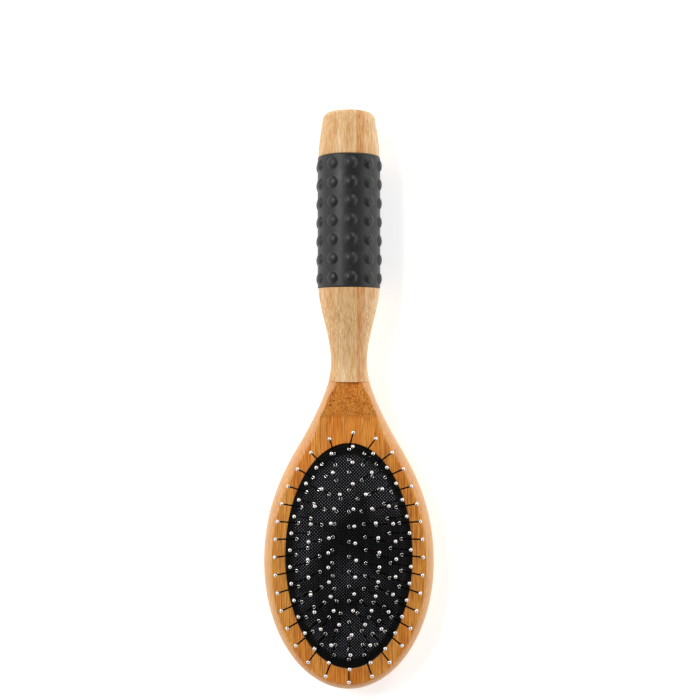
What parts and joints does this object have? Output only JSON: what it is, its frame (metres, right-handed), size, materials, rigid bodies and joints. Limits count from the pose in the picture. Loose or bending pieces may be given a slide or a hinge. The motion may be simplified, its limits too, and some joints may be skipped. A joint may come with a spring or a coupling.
{
  "type": "pin brush",
  "caption": "Pet grooming pin brush: oval bamboo head with a domed air cushion of ball-tipped steel pins, and a turned bamboo handle with a nubbed rubber grip.",
  "frame": {"origin": "under the middle of the brush, on the surface that its flat back rests on", "axes": "+Z the way the pins point, +Y along the brush towards the end of the handle, +X to the right of the head seen from the pin side with the handle up"},
  "size_m": [0.0654, 0.22, 0.0397],
  "materials": {
    "head_bamboo": "satin",
    "handle_bamboo": "satin",
    "dowel_wood": "matte",
    "grip_rubber": "matte",
    "cushion_rubber": "matte",
    "cushion_fabric": "matte",
    "pin_steel": "polished"
  },
  "bodies": {
    "root": {"head": "head_bamboo", "handle": "handle_bamboo", "neck_dowel": "dowel_wood", "grip_sleeve": "grip_rubber", "cushion_rubber": "cushion_rubber", "cushion_fabric": "cushion_fabric"},
    "centre_pins": {"pins_centre_row": "pin_steel"},
    "first_oval_side_pins": {"pins_first_oval_sides": "pin_steel"},
    "first_oval_end_pins": {"pins_first_oval_ends": "pin_steel"},
    "second_oval_side_pins": {"pins_second_oval_sides": "pin_steel"},
    "second_oval_end_pins": {"pins_second_oval_ends": "pin_steel"},
    "third_oval_side_pins": {"pins_third_oval_sides": "pin_steel"},
    "third_oval_end_pins": {"pins_third_oval_ends": "pin_steel"},
    "outer_oval_side_pins": {"pins_outer_oval_sides": "pin_steel"},
    "outer_oval_end_pins": {"pins_outer_oval_ends": "pin_steel"}
  },
  "joints": [
    {"name": "cushion_press", "type": "slide", "parent": "root", "child": "centre_pins", "axis": [0, 0, -1], "range_m": [0, 0.0033], "stiffness_N_per_m": 1500, "deforming": ["cushion_rubber", "cushion_fabric"]},
    {"name": "first_oval_side_pins_sink", "type": "slide", "parent": "root", "child": "first_oval_side_pins", "axis": [0, 0, -1], "range_m": [0, 0.00313]},
    {"name": "first_oval_end_pins_sink", "type": "slide", "parent": "root", "child": "first_oval_end_pins", "axis": [0, 0, -1], "range_m": [0, 0.00256]},
    {"name": "second_oval_side_pins_sink", "type": "slide", "parent": "root", "child": "second_oval_side_pins", "axis": [0, 0, -1], "range_m": [0, 0.00268]},
    {"name": "second_oval_end_pins_sink", "type": "slide", "parent": "root", "child": "second_oval_end_pins", "axis": [0, 0, -1], "range_m": [0, 0.002]},
    {"name": "third_oval_side_pins_sink", "type": "slide", "parent": "root", "child": "third_oval_side_pins", "axis": [0, 0, -1], "range_m": [0, 0.00193]},
    {"name": "third_oval_end_pins_sink", "type": "slide", "parent": "root", "child": "third_oval_end_pins", "axis": [0, 0, -1], "range_m": [0, 0.00129]},
    {"name": "outer_oval_side_pins_sink", "type": "slide", "parent": "root", "child": "outer_oval_side_pins", "axis": [0, 0, -1], "range_m": [0, 0.00111]},
    {"name": "outer_oval_end_pins_sink", "type": "slide", "parent": "root", "child": "outer_oval_end_pins", "axis": [0, 0, -1], "range_m": [0, 0.00069]}
  ],
  "couplings": [
    {"joint": "first_oval_side_pins_sink", "follows": "cushion_press", "ratio": 0.9472},
    {"joint": "first_oval_end_pins_sink", "follows": "cushion_press", "ratio": 0.7739},
    {"joint": "second_oval_side_pins_sink", "follows": "cushion_press", "ratio": 0.8115},
    {"joint": "second_oval_end_pins_sink", "follows": "cushion_press", "ratio": 0.6051},
    {"joint": "third_oval_side_pins_sink", "follows": "cushion_press", "ratio": 0.584},
    {"joint": "third_oval_end_pins_sink", "follows": "cushion_press", "ratio": 0.3885},
    {"joint": "outer_oval_side_pins_sink", "follows": "cushion_press", "ratio": 0.3334},
    {"joint": "outer_oval_end_pins_sink", "follows": "cushion_press", "ratio": 0.2073}
  ]
}
